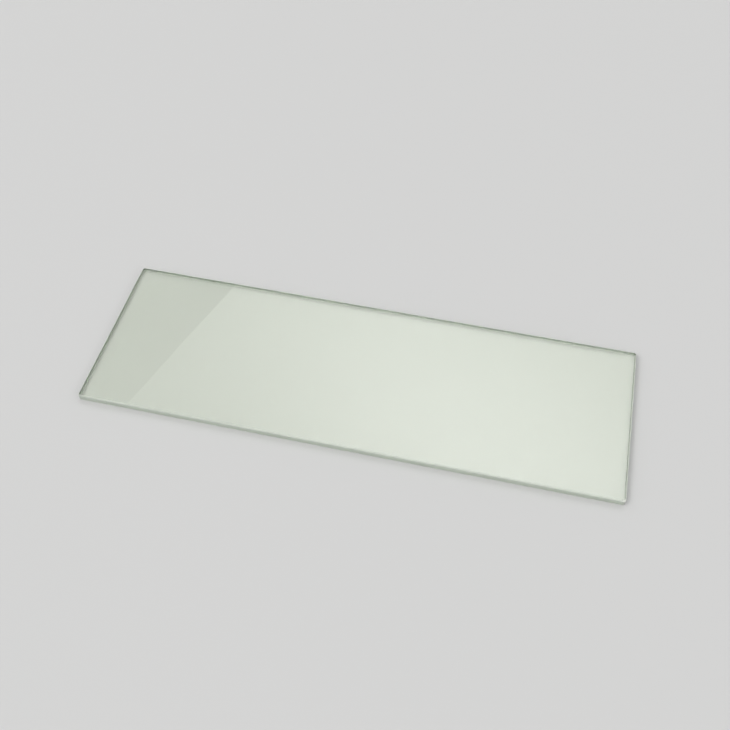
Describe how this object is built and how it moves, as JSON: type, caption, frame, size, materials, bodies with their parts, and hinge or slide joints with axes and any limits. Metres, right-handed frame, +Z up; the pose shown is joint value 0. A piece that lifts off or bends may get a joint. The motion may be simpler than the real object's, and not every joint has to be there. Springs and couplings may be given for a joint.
{
  "type": "microscope slide",
  "caption": "Plain clear glass microscope slide with ground edges, a thin rectangular plate that holds a specimen for viewing under a microscope.",
  "frame": {"origin": "middle of the broad face that the slide lies on", "axes": "+X along the slide's length, +Y across its width, +Z up through its thickness towards the face that takes the specimen"},
  "size_m": [0.0762, 0.0254, 0.0011],
  "materials": {
    "clear_glass": "clear soda-lime glass with a faint sage green cast; broad faces smooth and glossy, edges and arrises ground to a satin white"
  },
  "bodies": {
    "root": {"slide": "clear_glass"}
  },
  "joints": []
}
